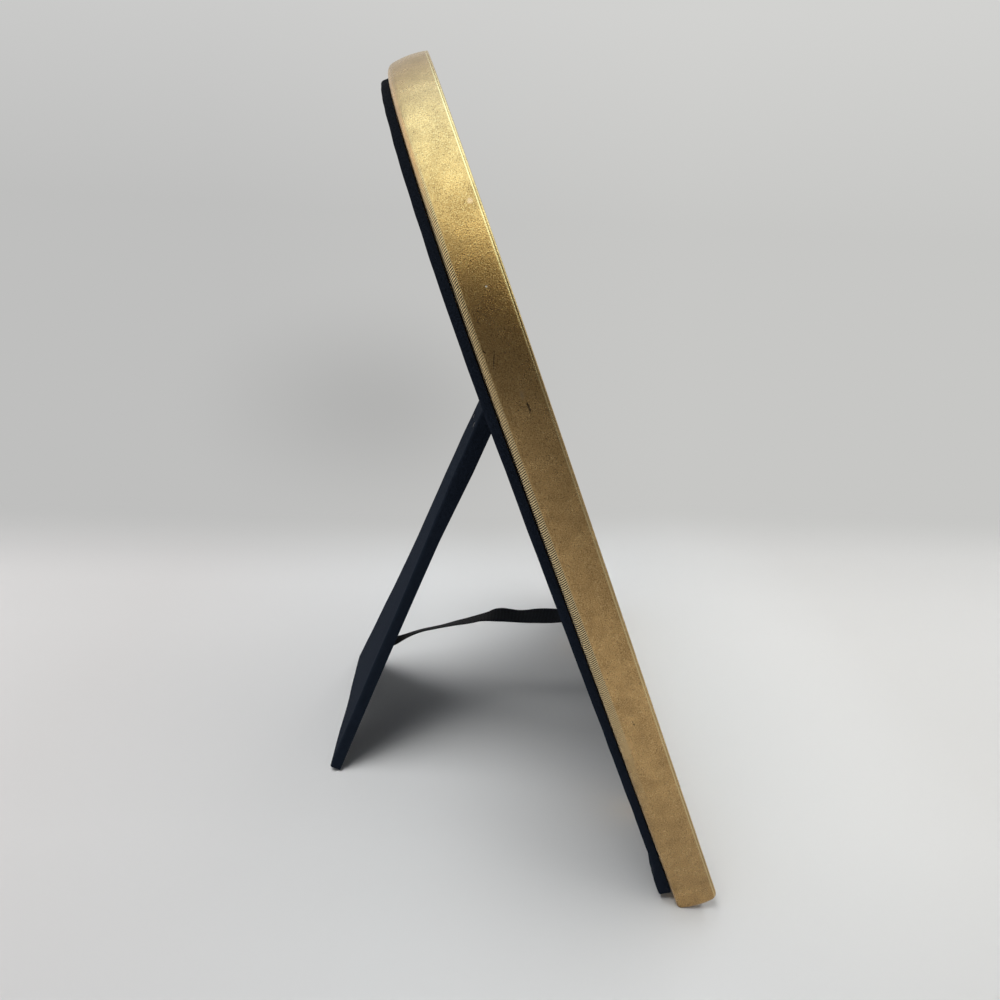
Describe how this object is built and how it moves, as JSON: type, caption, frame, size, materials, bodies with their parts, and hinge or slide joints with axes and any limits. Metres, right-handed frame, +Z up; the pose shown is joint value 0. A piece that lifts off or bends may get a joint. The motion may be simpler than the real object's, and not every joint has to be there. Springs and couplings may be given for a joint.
{
  "type": "arched photo frame",
  "caption": "Round-headed gilt table photo frame with a velvet back, standing on a hinged easel leg held by a ribbon stay.",
  "frame": {"origin": "middle of the overall box on the table: X 0 is the frame's centre line, Z 0 the table top, Y 0 halfway between the front of the moulding's foot and the leg's foot", "axes": "+Z up, -Y the way the picture faces, +X to the right of somebody looking at the picture"},
  "size_m": [0.151, 0.102, 0.1913],
  "materials": {
    "gilt": "satin antique gold, finely grained",
    "glass": "clear",
    "paper": "matt",
    "grey_card": "matt",
    "board": "raw fibreboard",
    "black_paper": "matt",
    "velvet": "short pile",
    "ribbon": "plain weave",
    "brass": "stamped, brushed",
    "black_steel": "black"
  },
  "bodies": {
    "frame": {"rim_moulding": "gilt", "glass_pane": "glass", "paper_insert": "paper", "filler_card": "grey_card", "back_ring_board": "board", "back_ring_velvet": "velvet", "door_board": "board", "door_velvet": "velvet", "door_lining": "black_paper", "turn_button_screw_top": "brass", "turn_button_screw_left": "brass", "turn_button_screw_right": "brass", "hinge_leaf_door": "black_steel", "hinge_pin": "black_steel", "hinge_rivet_door_left": "black_steel", "hinge_rivet_door_right": "black_steel", "ribbon_stay": "ribbon"},
    "leg": {"leg_board": "board", "leg_velvet": "velvet", "leg_lining": "black_paper", "hinge_leaf_leg": "black_steel", "hinge_rivet_leg_left": "black_steel", "hinge_rivet_leg_right": "black_steel"},
    "button_top": {"turn_button_top": "brass"},
    "button_left": {"turn_button_left": "brass"},
    "button_right": {"turn_button_right": "brass"}
  },
  "joints": [
    {"name": "leg_hinge", "type": "hinge", "parent": "frame", "child": "leg", "pos_m": [0, 0.00615, 0.10584], "axis": [1, 0, 0], "range_deg": [-44.2, 0.7], "deforming": ["ribbon_stay"]},
    {"name": "button_top_turn", "type": "hinge", "parent": "frame", "child": "button_top", "pos_m": [0, 0.03297, 0.18148], "axis": [0, 0.9247, -0.3807], "continuous": true},
    {"name": "button_left_turn", "type": "hinge", "parent": "frame", "child": "button_left", "pos_m": [-0.043, -0.03934, 0.00588], "axis": [0, 0.9247, -0.3807], "continuous": true},
    {"name": "button_right_turn", "type": "hinge", "parent": "frame", "child": "button_right", "pos_m": [0.043, -0.03934, 0.00588], "axis": [0, 0.9247, -0.3807], "continuous": true}
  ]
}
